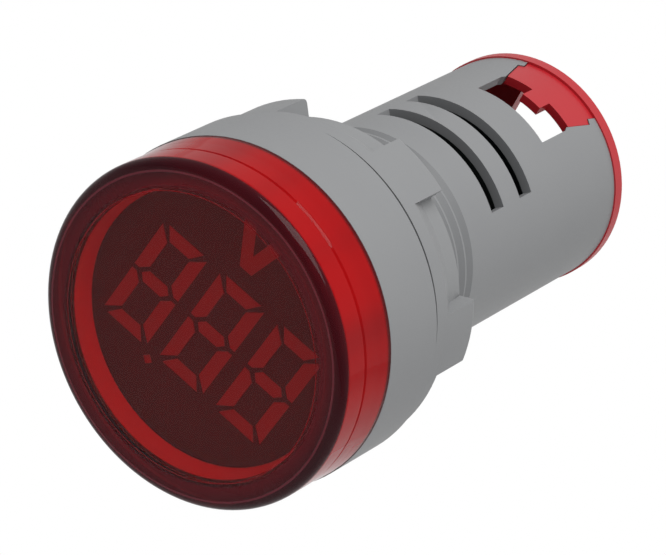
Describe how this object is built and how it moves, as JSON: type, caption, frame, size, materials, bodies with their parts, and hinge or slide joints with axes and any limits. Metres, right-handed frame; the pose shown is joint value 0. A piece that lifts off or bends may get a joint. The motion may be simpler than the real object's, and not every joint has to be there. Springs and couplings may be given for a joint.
{
  "type": "digital panel meter",
  "caption": "Round panel meter with a red lens over seven-segment digits, a threaded barrel with a lugged nut and seal, vent slots, and screw terminals under a red tail cap.",
  "frame": {"origin": "on the axis of the barrel, in the plane of the bezel's back face, which is the front surface of the panel it is fixed in", "axes": "+Y along the barrel to the tail, the lens faces -Y; +Z to the top of the digits; +X to the right of the digits as read from the front"},
  "size_m": [0.0303, 0.051, 0.0302],
  "materials": {
    "grey_plastic": "fine moulded texture",
    "red_lens": "clear, polished",
    "pale_plastic": "moulded",
    "display_black": "smooth",
    "segment_red": "diffusing resin",
    "board_green": "solder mask",
    "black_plastic": "moulded",
    "tinned": "tinned",
    "film_blue": "moulded case",
    "can_sleeve": "shrunk sleeve",
    "disc_blue": "dipped resin",
    "resistor_coat": "lacquer",
    "base_plastic": "moulded",
    "plate_brass": "pressed",
    "zinc_steel": "zinc plated",
    "red_plastic": "moulded, semi-gloss",
    "seal_rubber": "matt"
  },
  "bodies": {
    "housing": {"housing": "grey_plastic", "lens_cap": "red_lens", "spacer_sleeve": "pale_plastic", "display_case": "display_black", "light_bars": "segment_red", "display_board": "board_green", "driver_chip": "black_plastic", "header_pins": "tinned", "header_block": "black_plastic", "power_board": "board_green", "film_capacitor": "film_blue", "bulk_capacitor": "can_sleeve", "bridge_rectifier": "black_plastic", "surge_suppressor": "disc_blue", "fusible_resistor": "resistor_coat", "terminal_base": "base_plastic", "terminal_plates": "plate_brass", "tail_cap": "red_plastic"},
    "seal": {"seal_ring": "seal_rubber"},
    "nut": {"nut": "grey_plastic"},
    "clamp_left": {"clamp_left": "zinc_steel"},
    "clamp_right": {"clamp_right": "zinc_steel"},
    "screw_left": {"screw_left": "zinc_steel"},
    "screw_right": {"screw_right": "zinc_steel"}
  },
  "joints": [
    {"name": "nut_travel", "type": "slide", "parent": "housing", "child": "seal", "axis": [0, 1, 0], "range_m": [0, 0.0096]},
    {"name": "nut_turn", "type": "hinge", "parent": "seal", "child": "nut", "pos_m": [0, 0.0034, 0], "axis": [0, 1, 0], "range_deg": [0, 2880]},
    {"name": "clamp_left_travel", "type": "slide", "parent": "housing", "child": "clamp_left", "axis": [0, 1, 0], "range_m": [0, 0.0025]},
    {"name": "screw_left_turn", "type": "hinge", "parent": "clamp_left", "child": "screw_left", "pos_m": [-0.0061, 0.029, 0], "axis": [0, 1, 0], "range_deg": [0, 1800]},
    {"name": "clamp_right_travel", "type": "slide", "parent": "housing", "child": "clamp_right", "axis": [0, 1, 0], "range_m": [0, 0.0025]},
    {"name": "screw_right_turn", "type": "hinge", "parent": "clamp_right", "child": "screw_right", "pos_m": [0.0061, 0.029, 0], "axis": [0, 1, 0], "range_deg": [0, 1800]}
  ],
  "couplings": [
    {"joint": "nut_turn", "follows": "nut_travel", "rad_per_m": 5235.9},
    {"joint": "screw_left_turn", "follows": "clamp_left_travel", "rad_per_m": 12566},
    {"joint": "screw_right_turn", "follows": "clamp_right_travel", "rad_per_m": 12566}
  ]
}
